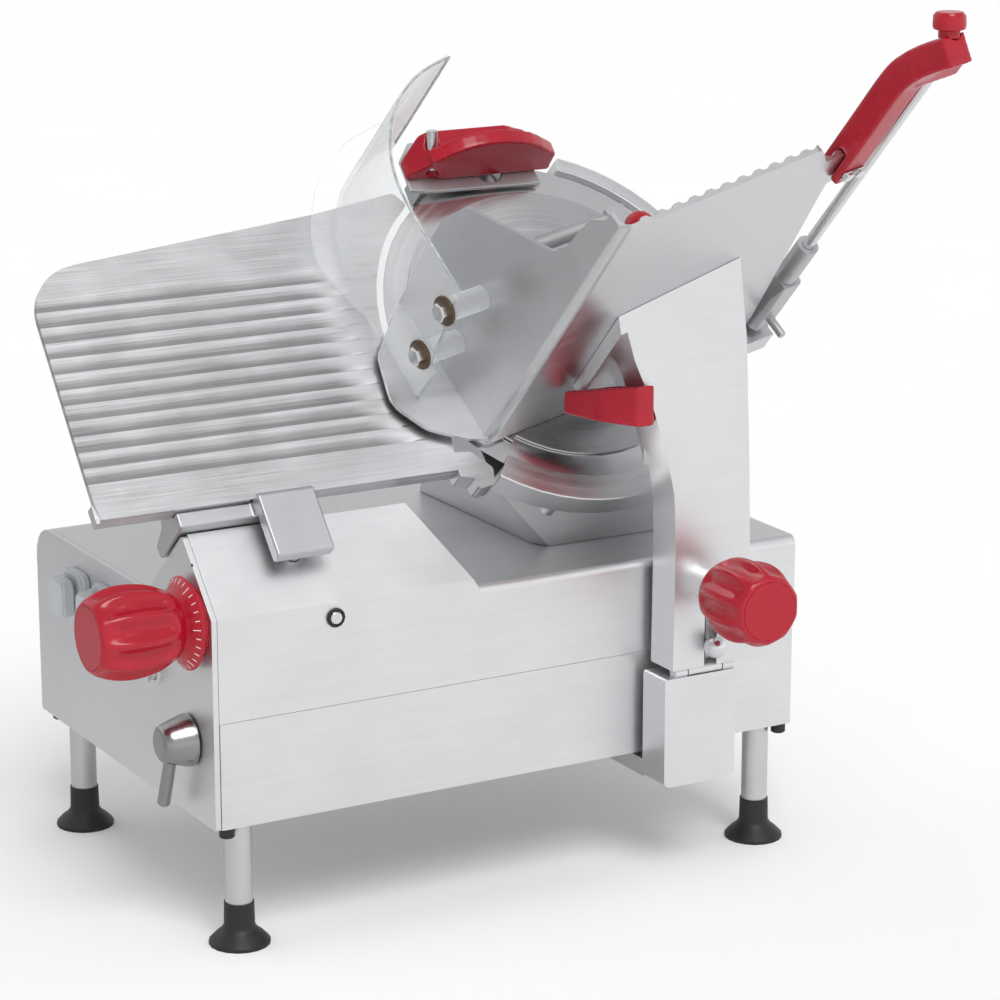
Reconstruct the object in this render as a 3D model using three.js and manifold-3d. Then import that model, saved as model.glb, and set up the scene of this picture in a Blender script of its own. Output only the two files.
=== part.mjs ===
// Automatic gravity-feed meat slicer, millimetres, +Z up.
// -Y is the control front and +X the carriage side. The dimensions below are taken from a point on
// the table under the middle of the base; the last lines move the whole to its own middle.
import * as THREE from 'three';
import { mergeVertices } from 'three/addons/utils/BufferGeometryUtils.js';
import { ConvexGeometry } from 'three/addons/geometries/ConvexGeometry.js';
import Module from 'manifold-3d';

const wasm = await Module();
wasm.setup();

// ---- driving dimensions -------------------------------------------------
const GAP = 0.3; // clearance between touching pieces
const BASE_X = 189.75; // half width of the base
const BASE_Y = 287.8; // half length of the base
const BASE_BOTTOM = 112.2; // height of the base's underside
const SEAM_Z = 205.7; // joint between the two base castings
const DECK_Z = 290; // top of the base
const WALL = 5; // casting wall
const PAN_WALL = 6;
const PANEL = 5; // front panel thickness
const RIDGE_PEAK = [134, 357]; // x, z of the ridge that carries the gauge plate
const RIDGE_LEFT_X = 59.7;
const RIDGE_RIGHT_Z = 296.8;
const RIDGE_END_Y = -41; // foot of the ridge's rear hip
const RIDGE_PEAK_END_Y = -82;
const LEG_X = 167.6;
const LEG_Y = 262.9;
const LEG_R = 12;
const KNIFE_R = 165; // 330 mm knife
const KNIFE_POS = [51.4, 116.2, 478.1]; // centre of the knife in its cutting plane
const KNIFE_TILT = THREE.MathUtils.degToRad(41.25); // knife's axis above horizontal
const COVER_R = 136;
const COVER_SECTOR_R = 143; // wider sector of the knife cover
const RING_IN = 167;
const RING_OUT = 181.3;
const PLATE_CUT_R = 171; // gauge plate's cut round the knife
const PLATE_T = 6;
const RIB_PITCH = 15;
const RIB_DEPTH = 1.8;
const INDEX_POS = [154.2, 287.1]; // x, z of the index knob's axis
const GAUGE_ROD = [-318, -178]; // along and up the plate from the knife's centre
const BUTTON_SPOTS = [[-87, 249.5], [-25, 250.5]];
const MODE_POS = [75, 220];
const LEVER_POS = [144, 181];
const TRAY_POS = [141.3, 0.6, 408.0]; // lower end of the tray's bend line
const TRAY_PITCH = Math.PI / 4; // feed direction above horizontal
const TRAY_ROLL = Math.asin(0.2232); // floor rolled towards the fence
const SHEET = 4; // tray sheet
const CLEAR = 7; // height of the tray's lower edge over the cutting plane
const GUARD_TOP = 147; // height of the clear guard over the cutting plane
const GUARD_T = 4;
const GUARD_OFF = 36.3; // guard's place in front of the fence
const ARM_IN = 197.5; // inner side of the carriage arm
const ARM_OUT = 234;
const ARM_BOTTOM = 198.5;
const HINGE = [228, 195]; // x, z of the arm's tilt axis
const LOCK_POS = [160.5, 276.5]; // y, z of the lock knob's axis
const ROD_W2 = 303; // pusher rod's place across the tray
const ROD_W1 = 4;
const ROD_R = 5.3;
const SLIDE = [152, 160, 11]; // x, z, radius of the carriage slide rod
const GUIDE = [98, 160, 7]; // the guide rail in the base pan
const PULLEY_X = 44;
const PULLEY_Y = 232;
const PULLEY_R = 25;
const MOTOR_S = -100; // knife motor's place below the knife's axis

// ---- materials ----------------------------------------------------------
const finish = (color, roughness, metalness, extra = {}) =>
  new THREE.MeshStandardMaterial({ color, roughness, metalness, ...extra });
const satin = finish(0xc9cacc, 0.38, 1);
const casting = finish(0xb4b6b8, 0.45, 1);
const steel = finish(0xd2d3d5, 0.15, 1);
const red = finish(0xb3141d, 0.35, 0);
const rubber = finish(0x1c1c1d, 0.6, 0);
const capGrey = finish(0xb5bcc0, 0.4, 0);
const clear = finish(0xe8eef2, 0.05, 0, { transparent: true, opacity: 0.35 });
const bronze = finish(0x54473a, 0.4, 1);
const dark = finish(0x3a3c3e, 0.5, 0.3);
const stone = finish(0x8f8a80, 0.9, 0);

// ---- frames -------------------------------------------------------------
const turnX = (angle) => new THREE.Matrix4().makeRotationX(angle);
const turnY = (angle) => new THREE.Matrix4().makeRotationY(angle);
const turnZ = (angle) => new THREE.Matrix4().makeRotationZ(angle);
const moved = (x, y, z) => new THREE.Matrix4().makeTranslation(x, y, z);
const chain = (...list) => list.reduce((sum, matrix) => sum.multiply(matrix), new THREE.Matrix4());
const basis = (x, y, z) => new THREE.Matrix4().makeBasis(
  new THREE.Vector3(...x), new THREE.Vector3(...y), new THREE.Vector3(...z));
const { cos, sin, PI } = Math;

// Knife frame: x along the gauge plate (world +Y), y up the plate, z out of the cutting plane.
const knifeMatrix = basis([0, 1, 0], [-sin(KNIFE_TILT), 0, cos(KNIFE_TILT)],
  [cos(KNIFE_TILT), 0, sin(KNIFE_TILT)]).setPosition(...KNIFE_POS);
// Tray frame: x across the floor, y up the fence, z along the feed.
const trayMatrix = chain(moved(...TRAY_POS),
  basis([0, 1, 0], [-sin(TRAY_PITCH), 0, cos(TRAY_PITCH)], [cos(TRAY_PITCH), 0, sin(TRAY_PITCH)]),
  turnZ(TRAY_ROLL));
const knifeInverse = knifeMatrix.clone().invert();
const trayInverse = trayMatrix.clone().invert();
const knifeToTray = trayInverse.clone().multiply(knifeMatrix);

function frameGroup(matrix) {
  const frame = new THREE.Group();
  matrix.decompose(frame.position, frame.quaternion, frame.scale);
  frame.scale.set(1, 1, 1);
  return frame;
}

// ---- solid helpers ------------------------------------------------------
function solid(geometry, matrix = new THREE.Matrix4()) {
  const copy = geometry.clone();
  copy.deleteAttribute('normal');
  copy.deleteAttribute('uv');
  const merged = mergeVertices(copy, 1e-4);
  const body = new wasm.Manifold(new wasm.Mesh({
    numProp: 3,
    vertProperties: new Float32Array(merged.attributes.position.array),
    triVerts: new Uint32Array(merged.index.array),
  }));
  return place(body.volume() > 0 ? body : solid(flipped(merged)), matrix);
}

// The same closed surface facing the other way.
function flipped(geometry) {
  const copy = geometry.clone();
  copy.setIndex([...geometry.index.array].reverse());
  return copy;
}

const place = (body, matrix) => body.transform(matrix.elements);
const union = (list) => list.reduce((sum, body) => sum.add(body));

function geometryOf(body) {
  const mesh = body.getMesh();
  const geometry = new THREE.BufferGeometry();
  geometry.setAttribute('position', new THREE.BufferAttribute(mesh.vertProperties.slice(), 3));
  geometry.setIndex(new THREE.BufferAttribute(mesh.triVerts.slice(), 1));
  geometry.computeVertexNormals();
  return geometry;
}

// Prism of [x, y] points standing between two heights.
function prism(points, z0, z1, matrix) {
  const shape = new THREE.Shape(points.map(([x, y]) => new THREE.Vector2(x, y)));
  const geometry = new THREE.ExtrudeGeometry(shape, { depth: z1 - z0, bevelEnabled: false });
  return solid(geometry.translate(0, 0, z0), matrix);
}

// Prism of [x, z] points lying along y.
function alongY(points, y0, y1, matrix = new THREE.Matrix4()) {
  return prism(points, -y1, -y0, chain(matrix, turnX(PI / 2)));
}

// Prism of [y, z] points lying along x.
function alongX(points, x0, x1, matrix = new THREE.Matrix4()) {
  return prism(points, x0, x1, chain(matrix, basis([0, 1, 0], [0, 0, 1], [1, 0, 0])));
}

function box(x0, x1, y0, y1, z0, z1, matrix) {
  const geometry = new THREE.BoxGeometry(x1 - x0, y1 - y0, z1 - z0);
  return solid(geometry.translate((x0 + x1) / 2, (y0 + y1) / 2, (z0 + z1) / 2), matrix);
}

// Outline with its corners rounded; radius is one number, or one for each corner.
function rounded(points, radius, steps = 4) {
  const out = [];
  points.forEach((point, i) => {
    const r = Array.isArray(radius) ? radius[i] : radius;
    if (r) out.push(...cornerArc(points, i, r, steps));
    else out.push(point);
  });
  return out;
}

function cornerArc(points, i, radius, steps) {
  const corner = new THREE.Vector2(...points[i]);
  const before = new THREE.Vector2(...points[(i + points.length - 1) % points.length]).sub(corner);
  const after = new THREE.Vector2(...points[(i + 1) % points.length]).sub(corner);
  const limit = 0.49 * Math.min(before.length(), after.length());
  before.normalize();
  after.normalize();
  const half = Math.acos(before.dot(after)) / 2;
  const reach = Math.min(radius / Math.tan(half), limit);
  const a = corner.clone().addScaledVector(before, reach);
  const b = corner.clone().addScaledVector(after, reach);
  const middle = before.add(after).normalize().multiplyScalar(reach / cos(half)).add(corner);
  const from = a.clone().sub(middle).angle();
  const turn = THREE.MathUtils.euclideanModulo(b.clone().sub(middle).angle() - from + PI, 2 * PI) - PI;
  return arc(middle.x, middle.y, a.distanceTo(middle), from, from + turn, steps);
}

function arc(x, y, r, from, to, steps) {
  return Array.from({ length: steps + 1 }, (_, i) => {
    const angle = from + ((to - from) * i) / steps;
    return [x + r * cos(angle), y + r * sin(angle)];
  });
}

// Counter-clockwise outline moved inwards by a wall thickness.
function inset(points, wall) {
  const lines = points.map((point, i) => {
    const next = points[(i + 1) % points.length];
    const run = new THREE.Vector2(next[0] - point[0], next[1] - point[1]).normalize();
    return { run, at: new THREE.Vector2(point[0] - run.y * wall, point[1] + run.x * wall) };
  });
  return lines.map((line, i) => {
    const other = lines[(i + lines.length - 1) % lines.length];
    const gap = line.at.clone().sub(other.at);
    const along = gap.cross(line.run) / other.run.cross(line.run);
    return other.at.clone().addScaledVector(other.run, along).toArray();
  });
}

// Sides of a round piece, by its radius.
function sidesOf(radius) {
  if (radius > 60) return 48;
  if (radius > 30) return 24;
  return radius > 9 ? 18 : 12;
}

// Round solid about z from [radius, height] points. A profile off the axis makes a ring.
function turned(profile, matrix) {
  const points = profile.map(([r, z]) => new THREE.Vector2(r, z));
  const sides = sidesOf(Math.max(...profile.map(([r]) => r)));
  if (profile[0][0] > 0) points.push(points[0].clone());
  return solid(new THREE.LatheGeometry(points, sides).rotateX(PI / 2), matrix);
}

const rod = (r, z0, z1, matrix) => turned([[0, z0], [r, z0], [r, z1], [0, z1]], matrix);
const softRod = (r, z0, z1, edge, matrix) => turned(
  [[0, z0], [r - edge, z0], [r, z0 + edge], [r, z1 - edge], [r - edge, z1], [0, z1]], matrix);
const tube = (r0, r1, z0, z1, matrix) => turned([[r0, z0], [r1, z0], [r1, z1], [r0, z1]], matrix);
const hexagon = (r, z0, z1, matrix) => prism(arc(0, 0, r, 0, (5 * PI) / 3, 5), z0, z1, matrix);

// Band of even width along a line of points.
function band(points, width) {
  const side = (sign) => points.map((point, i) => {
    const a = points[Math.max(i - 1, 0)];
    const b = points[Math.min(i + 1, points.length - 1)];
    const run = new THREE.Vector2(b[0] - a[0], b[1] - a[1]).normalize();
    return [point[0] - (run.y * sign * width) / 2, point[1] + (run.x * sign * width) / 2];
  });
  return [...side(-1), ...side(1).reverse()];
}

const smooth = (points, steps) => new THREE.SplineCurve(
  points.map(([x, y]) => new THREE.Vector2(x, y))).getPoints(steps).map((p) => [p.x, p.y]);

const deg = THREE.MathUtils.degToRad;
const group = new THREE.Group();
const knifeGroup = frameGroup(knifeMatrix);
const trayGroup = frameGroup(trayMatrix);
group.add(knifeGroup, trayGroup);

function addPart(name, body, material, parent = group) {
  const mesh = new THREE.Mesh(geometryOf(body), material);
  mesh.name = name;
  parent.add(mesh);
}

// ---- base castings ------------------------------------------------------
const FRONT_Y = -BASE_Y - PANEL - GAP;
// Frame on the front panel: x to the right, y up, z towards the operator.
const frontFrame = (x, z) => chain(moved(x, FRONT_Y, z), turnX(PI / 2));

function frontHoles() {
  const hole = ([x, z], r) => rod(r, -20, 10, frontFrame(x, z));
  return union([
    hole(INDEX_POS, 7), hole(MODE_POS, 5.6), hole(LEVER_POS, 6.6),
    ...BUTTON_SPOTS.map((spot) => hole(spot, 8.6)),
  ]);
}

function deckOutline(wall, z0) {
  const x = BASE_X - wall;
  const top = DECK_Z - wall;
  return rounded([[-x, z0], [x, z0], [x, top], [-x, top]], [0, 0, 8 - wall / 2, 29 - wall], 5);
}

function ridge(wall) {
  const section = [[RIDGE_LEFT_X, 268], [BASE_X, 268], [BASE_X, RIDGE_RIGHT_Z], RIDGE_PEAK,
    [RIDGE_LEFT_X, DECK_Z]];
  const back = (z) => RIDGE_END_Y - wall
    - ((z - DECK_Z) * (RIDGE_END_Y - RIDGE_PEAK_END_Y)) / (RIDGE_PEAK[1] - DECK_Z);
  const side = [[-BASE_Y + wall, 260], [back(260), 260], [back(380), 380], [-BASE_Y + wall, 380]];
  return alongY(wall ? inset(section, wall) : section, -BASE_Y, 0).intersect(alongX(side, -300, 300));
}

function baseHousing() {
  const outside = alongY(deckOutline(0, SEAM_Z + GAP / 2), -BASE_Y, BASE_Y).add(ridge(0));
  const inside = alongY(deckOutline(WALL, SEAM_Z - 5), -BASE_Y + WALL, BASE_Y - WALL).add(ridge(WALL));
  const opening = box(-92, 86, 72, 222, 260, 320);
  const rodHole = rod(7.8, -60, -10, chain(knifeMatrix, moved(...GAUGE_ROD, 0)));
  return outside.subtract(inside).subtract(opening).subtract(rodHole).subtract(frontHoles());
}

const LEG_SPOTS = [
  ['front_right', LEG_X, -LEG_Y], ['front_left', -LEG_X, -LEG_Y],
  ['rear_right', LEG_X, LEG_Y], ['rear_left', -LEG_X, LEG_Y],
];

const baseOutline = (wall) => rounded([
  [-BASE_X + wall, -BASE_Y + wall], [BASE_X - wall, -BASE_Y + wall],
  [BASE_X - wall, BASE_Y - wall], [-BASE_X + wall, BASE_Y - wall]], 3, 2);

function basePan() {
  const top = SEAM_Z - GAP / 2;
  const bosses = union(LEG_SPOTS.map(([, x, y]) =>
    box(x - 22, x + 22, y - 24, y + 24, BASE_BOTTOM, BASE_BOTTOM + 24)));
  const studs = union(LEG_SPOTS.map(([, x, y]) => rod(6, BASE_BOTTOM - 9, BASE_BOTTOM + 4,
    moved(Math.sign(x) * 181, Math.sign(y) * 279, 0))));
  return prism(baseOutline(0), BASE_BOTTOM, top)
    .subtract(prism(baseOutline(PAN_WALL), BASE_BOTTOM - 1, top + 1))
    .add(studs)
    .add(bosses.intersect(prism(baseOutline(0), BASE_BOTTOM, top)))
    .add(rod(GUIDE[2], -BASE_Y + 2, BASE_Y - 2, lengthwise(GUIDE[0], GUIDE[1])))
    .subtract(frontHoles());
}

function bottomCover() {
  const corners = union(LEG_SPOTS.map(([, x, y]) =>
    box(x - 22.5, x + 22.5, y - 24.5, y + 24.5, 100, 130)));
  const slot = prism(rounded([[134, -190], [172, -190], [172, 208], [134, 208]], 8), 100, 130);
  return prism(baseOutline(PAN_WALL + GAP), BASE_BOTTOM + 0.5, BASE_BOTTOM + 3)
    .subtract(corners).subtract(slot);
}

function frontPanel() {
  const outline = rounded([
    [-BASE_X, BASE_BOTTOM], [BASE_X, BASE_BOTTOM], [BASE_X, RIDGE_RIGHT_Z], RIDGE_PEAK,
    [RIDGE_LEFT_X, DECK_Z], [-BASE_X, DECK_Z],
  ], [2, 2, 3, 4, 3, 29], 5);
  const collar = softRod(10, -1, 2.6, 1, frontFrame(...MODE_POS));
  return alongY(outline, FRONT_Y, -BASE_Y - GAP).add(collar).subtract(frontHoles());
}

// ---- legs ---------------------------------------------------------------
const BOOT = [
  [0, 0], [26.6, 0], [26.6, 3], [21, 8.8], [16, 12.6], [13.5, 17], [13, 38],
  [LEG_R + GAP, 38], [LEG_R + GAP, 16], [0, 16],
];

function addLegs() {
  LEG_SPOTS.forEach(([name, x, y]) => {
    addPart(`leg_${name}`, rod(LEG_R, 16 + GAP, BASE_BOTTOM - GAP, moved(x, y, 0)), satin);
    addPart(`foot_${name}`, turned(BOOT, moved(x, y, 0)), rubber);
  });
}

function addBase() {
  addPart('base_housing', baseHousing(), satin);
  addPart('base_pan', basePan(), satin);
  addPart('bottom_cover', bottomCover(), satin);
  addPart('front_panel', frontPanel(), satin);
  addLegs();
  const side = chain(moved(BASE_X, -178.5, 283), turnY(PI / 2));
  addPart('side_plug', softRod(5.6, GAP, 2.6, 0.5, side), steel);
  addPart('plug_seal', turned([[6, GAP], [8.2, GAP], [8.6, 1.4], [7.9, 2.6], [6.6, 2.8], [6, 1.6]],
    side), rubber);
  const rear = chain(moved(-120, BASE_Y, 150), turnX(-PI / 2));
  addPart('cable_gland', tube(4, 11, GAP, 5, rear).add(tube(4, 8, 4, 16, rear)), rubber);
}

// ---- front controls -----------------------------------------------------
const roundedSquare = (half, r, z0, z1, matrix) =>
  prism(rounded([[-half, -half], [half, -half], [half, half], [-half, half]], r), z0, z1, matrix);

function addButton(name, spot) {
  const at = frontFrame(...spot);
  const cap = roundedSquare(17, 8, 14, 23, at).add(roundedSquare(15.5, 7, 22, 25, at));
  addPart(name, cap.add(rod(8, -14, 15, at)), capGrey);
}

function addControls() {
  addButton('start_button', BUTTON_SPOTS[0]);
  addButton('stop_button', BUTTON_SPOTS[1]);
  const collars = BUTTON_SPOTS.map((spot) => roundedSquare(22, 9, GAP, 6, frontFrame(...spot))
    .add(roundedSquare(20, 9, 5, 9, frontFrame(...spot)))
    .subtract(rod(8.6, -1, 10, frontFrame(...spot))));
  const strip = box(BUTTON_SPOTS[0][0], BUTTON_SPOTS[1][0], FRONT_Y - 2, FRONT_Y - GAP, 240, 260)
    .subtract(frontHoles());
  addPart('button_collars', union([...collars, strip]), capGrey);
  const mode = frontFrame(...MODE_POS);
  addPart('mode_button', rod(5, -12, 8, mode).add(softRod(6.6, 7, 12, 1, mode)), steel);
  const lever = frontFrame(...LEVER_POS);
  const hub = turned([[0, 0.8], [21.5, 0.8], [23, 2.4], [22.4, 7], [18, 22], [15.6, 28], [12, 30],
    [0, 30]], lever);
  const handle = softRod(5.6, 8, 66, 1.4, chain(lever, moved(0, 0, 17), turnZ(-0.347),
    turnX(PI / 2)));
  addPart('stroke_lever', hub.add(handle).add(rod(6, -16, 5, lever)), steel);
}

// ---- fluted knobs -------------------------------------------------------
const FLUTES = 10;
const GRIP = [[0, 0], [22, 0], [28, 6], [34, 16], [38.5, 32], [39.5, 48], [37, 66], [32, 77],
  [28, 80], [0, 80]];

// Barrel grip with long flutes, starting at a height of z0.
function flutedGrip(z0, size = 1) {
  const profile = GRIP.map(([r, z]) => new THREE.Vector2(r, z));
  const geometry = new THREE.LatheGeometry(profile, 2 * FLUTES);
  const { position } = geometry.attributes;
  for (let i = 0; i < position.count; i += 1) {
    const valley = Math.floor(i / GRIP.length) % 2;
    const depth = valley && position.getY(i) > 3 && position.getY(i) < 79 ? 0.925 : 1;
    position.setX(i, position.getX(i) * depth);
    position.setZ(i, position.getZ(i) * depth);
  }
  return solid(geometry.rotateX(PI / 2).scale(size, size, size).translate(0, 0, z0));
}

function addIndexKnob() {
  const at = frontFrame(...INDEX_POS);
  const skirt = turned([[0, GAP], [31, GAP], [31, 6], [40, 7.5], [40, 9.5], [34, 14], [28, 18],
    [24, 22], [0, 22]]);
  const spindle = rod(6.4, -112, 2).add(rod(21, -106, -94, moved(3, 0, 0)));
  addPart('index_knob', place(skirt.add(flutedGrip(15)).add(spindle), at), red);
}

// ---- knife, cover and ring guard (knife frame) --------------------------
function addKnife() {
  addPart('knife', turned([
    [12.5, -9], [118, -9], [140, -7], [158, -3.4], [KNIFE_R, -0.15], [KNIFE_R, 0.05],
    [150, 1.3], [138, 2.8], [12.5, 2.8],
  ]), steel, knifeGroup);
  addPart('knife_hub', turned([
    [6.5, -9.3], [38, -9.3], [38, -18], [12, -18], [12, -45], [55, -45], [55, -57], [12, -57],
    [12, -61], [6.5, -61],
  ]), steel, knifeGroup);
}

function addKnifeCover() {
  const from = deg(136.5);
  const to = deg(232);
  const outline = [
    ...arc(0, 0, COVER_SECTOR_R, from, to, 14), ...arc(0, 0, COVER_R, to, from + 2 * PI, 36),
  ];
  const rim = prism(outline, 3.3, 5.6);
  const nut = turned([[0, -68.3], [14, -68.3], [16, -70], [16, -80], [14, -82], [0, -82]]);
  addPart('knife_cover', rim.add(rod(5.5, -70, 4)).add(nut), satin, knifeGroup);
}

function addRingGuard() {
  const start = deg(-128);
  const end = deg(69);
  const lipEnd = deg(-52);
  const wall = [...arc(0, 0, RING_OUT, start, end, 32), ...arc(0, 0, RING_IN, end, start, 32)];
  const lip = [...arc(0, 0, RING_IN + 2, start, lipEnd, 16), ...arc(0, 0, 157, lipEnd, start, 16)];
  addPart('ring_guard', prism(wall, -22, 4).add(prism(lip, 1.6, 4)), satin, knifeGroup);
  const middle = (RING_IN + RING_OUT) / 2;
  addPart('ring_guard_bolt', softRod(6, -35, -22 - GAP, 1,
    chain(turnZ(deg(-109)), moved(middle, 0, 0))), steel, knifeGroup);
}

// ---- gauge plate and its carrier (knife frame) --------------------------
function gaugePlate() {
  const far = rounded([[-484, -130], [-480, 106], [-198, 137], [-112, 151], [-103.5, 139],
    [-146, -118], [-146, -130]], [5, 52, 60, 3, 0, 0, 0], 6);
  const cut = rod(PLATE_CUT_R, -30, 30);
  const rail = box(-484, -146, -130, -113, -16, -PLATE_T + 1);
  const pad = box(-410, -296, -84, -64, -16, -PLATE_T + 1);
  const tip = prism(rounded([
    [-147, -112], [-129, -113.5], [-113, -131.5], [-117, -148], [-133, -150], [-134, -139],
    [-147, -136],
  ], [0, 2, 3, 3, 3, 2, 2], 2), -20, -1);
  const plate = prism(far, -PLATE_T, 0).add(rail).add(pad).subtract(cut).add(tip);
  return plate.subtract(ribGrooves());
}

// Saw-tooth valleys along the plate, fading out near the knife.
function ribGrooves() {
  const grooves = Array.from({ length: 12 }, (_, i) => {
    const s = -96.7 + i * RIB_PITCH;
    return alongX([[s, -RIB_DEPTH], [s + RIB_PITCH - 0.6, -0.05], [s + RIB_PITCH - 0.6, 1], [s, 1]],
      -470, -120);
  });
  return union(grooves).subtract(rod(197, -10, 10));
}

// Prism of [distance up the plate, height over it] points between two places along it.
function gaugeCarrier() {
  const block = alongX([[-144.3, -62], [-132, -62], [-125, -40], [-62, -27], [-62, -16.3],
    [-130.3, -16.3], [-130.3, -5], [-144.3, -5]], -414, -292);
  const section = rounded([[-191, -1.2], [-144.3, -1.2], [-144.3, -12], [-130.3, -12],
    [-130.3, 0], [-128, 12], [-191, 12]], [4, 0, 0, 0, 0, 9, 4], 4);
  const arm = alongX(section, -345, -292);
  const corners = prism(rounded([[-345, -200], [-292, -200], [-292, -100], [-345, -100]],
    [7, 7, 0, 0]), -70, 20);
  return block.add(arm.intersect(corners)).add(rod(7, -76, 2, moved(...GAUGE_ROD, 0)));
}

function addGauge() {
  addPart('gauge_plate', gaugePlate(), satin, knifeGroup);
  addPart('gauge_carrier', gaugeCarrier(), casting, knifeGroup);
}

// ---- knife housing and drive (knife frame) ------------------------------
const COLUMN_FOOT = [[-117, 67], [94, 67], [110, 76], [112, 240], [-60, 240], [-117, 200]];

// Hull between the deck and the knife head, moved inwards by a wall.
function columnHull(wall) {
  const z = DECK_Z + GAP - wall;
  const foot = (wall ? inset(COLUMN_FOOT, wall) : COLUMN_FOOT).map(([x, y]) =>
    new THREE.Vector3(x, y, z).applyMatrix4(knifeInverse));
  const front = [[-103, -146], [103, -146], [112, -20], [-112, -20]].map(([t, s]) =>
    new THREE.Vector3(t - Math.sign(t) * wall, s + (s < -100 ? wall : 0), -22.3 - wall));
  const back = [-100, 100].map((t) =>
    new THREE.Vector3(t - Math.sign(t) * wall, -20, -70 + wall));
  return solid(new ConvexGeometry([...foot, ...front, ...back]));
}

function bladeHousing() {
  const head = turned([[0, -22.3], [118, -22.3], [122, -26], [122, -42], [104, -68], [0, -68]]);
  const room = turned([[0, -28], [116, -28], [116, -41], [98, -63], [0, -63]]);
  const boss = rod(34, -40, -24);
  return columnHull(0).add(head).subtract(columnHull(6)).subtract(room).add(boss)
    .subtract(rod(25, -41, -20)).subtract(rod(6.2, -80, -60));
}

// Loop of a belt's edge round two pulleys lying above each other.
function beltLoop(r0, y1, r1) {
  const lean = Math.asin((r0 - r1) / -y1);
  return [
    ...arc(0, 0, r0, -lean, PI + lean, 16), ...arc(0, y1, r1, PI + lean, 2 * PI - lean, 10),
  ];
}

function addKnifeDrive() {
  const at = moved(0, MOTOR_S, 0);
  addPart('blade_housing', bladeHousing(), casting, knifeGroup);
  addPart('knife_bearing', tube(12.2, 24.7, -38, -22.8), steel, knifeGroup);
  addPart('knife_motor', softRod(38, -225, -66, 4, at)
    .add(box(-80, 80, -132, -62, -70, -66)), dark, knifeGroup);
  addPart('motor_pulley', rod(24, -58, -44, at).add(rod(8, -65.7, -50, at)), steel,
    knifeGroup);
  addPart('knife_belt', prism(beltLoop(58.3, MOTOR_S, 27.3), -56, -46)
    .subtract(prism(beltLoop(55.4, MOTOR_S, 24.4), -60, -40)), rubber, knifeGroup);
}

// ---- sharpener (knife frame) --------------------------------------------
// The push pin stands upright in the sloping sharpener.
const pinPoint = new THREE.Vector3(-76, 173, 32).applyMatrix4(knifeMatrix);
const pinFrame = chain(knifeInverse, moved(...pinPoint.toArray()));

function sharpenerCover() {
  const arch = smooth([[44, 36], [12, 58], [-26, 67], [-60, 60], [-86, 41]], 12);
  const front = alongY([[-68, 10], [47, 10], ...arch], 154, 168);
  const back = alongY(rounded([[-101, 10], [33, 10], [31, 24], [4, 37], [-78, 37], [-100, 20]],
    [2, 3, 8, 14, 9, 5], 4), 157, 190);
  const plan = prism([[-101, 150], [50, 150], [50, 190], [-84, 190], [-101, 174]], 0, 90);
  const room = box(-58, 28, 158, 186, 9, 32);
  return front.add(back).intersect(plan).subtract(room).subtract(rod(5.9, -26, 90, pinFrame));
}

function addSharpener() {
  const plate = prism([[-99, 146], [-80, 143], [35, 141], [33, 160], [22, 172], [22, 196],
    [-84, 196], [-99, 178]], 6, 9.6);
  const leg = box(-56, 0, 175, 196, -72, 7).add(box(-56, 0, 82, 196, -72, -68.4));
  addPart('sharpener_bracket', plate.add(leg).subtract(rod(13.4, 0, 20, moved(-14, 160, 0))),
    casting, knifeGroup);
  addPart('sharpener_cover', sharpenerCover(), red, knifeGroup);
  addPart('sharpener_pin', softRod(5.4, -18, 18, 0.8, pinFrame), steel, knifeGroup);
  const wheel = moved(-14, 172, 0);
  addPart('grinding_stone', rod(12, 11, 19, wheel).add(rod(4, 18, 31.7, wheel)), stone,
    knifeGroup);
}

// ---- carriage under the base --------------------------------------------
const lengthwise = (x, z) => chain(moved(x, 0, z), turnX(PI / 2));
// Knuckle of the tilt hinge between two places along it.
const knuckle = (r, y0, y1) => rod(r, -y1, -y0, lengthwise(...HINGE));

function carriageBlock() {
  const side = alongX(rounded([[122.3, 91], [196, 91], [196, 191.5], [122.3, 191.5]], [6, 8, 3, 3]),
    ARM_IN, ARM_OUT);
  const knuckles = knuckle(5.6, 134, 146).add(knuckle(5.6, 183, 195));
  return side.add(box(138, ARM_IN + 1, 124, 194, 91, 107)).add(box(138, 166, 124, 194, 100, 140))
    .add(knuckles).subtract(knuckle(6.4, 146.4, 182.6)).subtract(knuckle(3.1, 100, 220));
}

function carriageSlider() {
  const bore = ([x, z, r]) => rod(r + 0.1, -400, 400, lengthwise(x, z));
  return box(80, 176, 110, 208, 140 + GAP, 182).add(box(72.6, 82, 140, 178, 152, 168))
    .subtract(bore(SLIDE)).subtract(bore(GUIDE));
}

function addCarriageDrive() {
  const end = BASE_Y - PAN_WALL - GAP;
  addPart('slide_rod', rod(SLIDE[2], -end, end, lengthwise(SLIDE[0], SLIDE[1])), steel);
  addPart('carriage_slider', carriageSlider(), casting);
  const wheel = (y, z0) => rod(PULLEY_R, 153, 167, moved(PULLEY_X, y, 0))
    .add(rod(6, z0, 160, moved(PULLEY_X, y, 0)));
  addPart('drive_pulley', wheel(-PULLEY_Y, 142), steel);
  addPart('idler_pulley', wheel(PULLEY_Y, BASE_BOTTOM + 3.4), steel);
  addPart('carriage_motor', softRod(34, BASE_BOTTOM + 3.4, 141.6, 3,
    moved(PULLEY_X, -PULLEY_Y, 0)), dark);
  const loop = (r) => [
    ...arc(PULLEY_X, PULLEY_Y, r, 0, PI, 14), ...arc(PULLEY_X, -PULLEY_Y, r, PI, 2 * PI, 14),
  ];
  addPart('carriage_belt', prism(loop(PULLEY_R + 3), 156, 164)
    .subtract(prism(loop(PULLEY_R + 0.6), 150, 170)), rubber);
}

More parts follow.
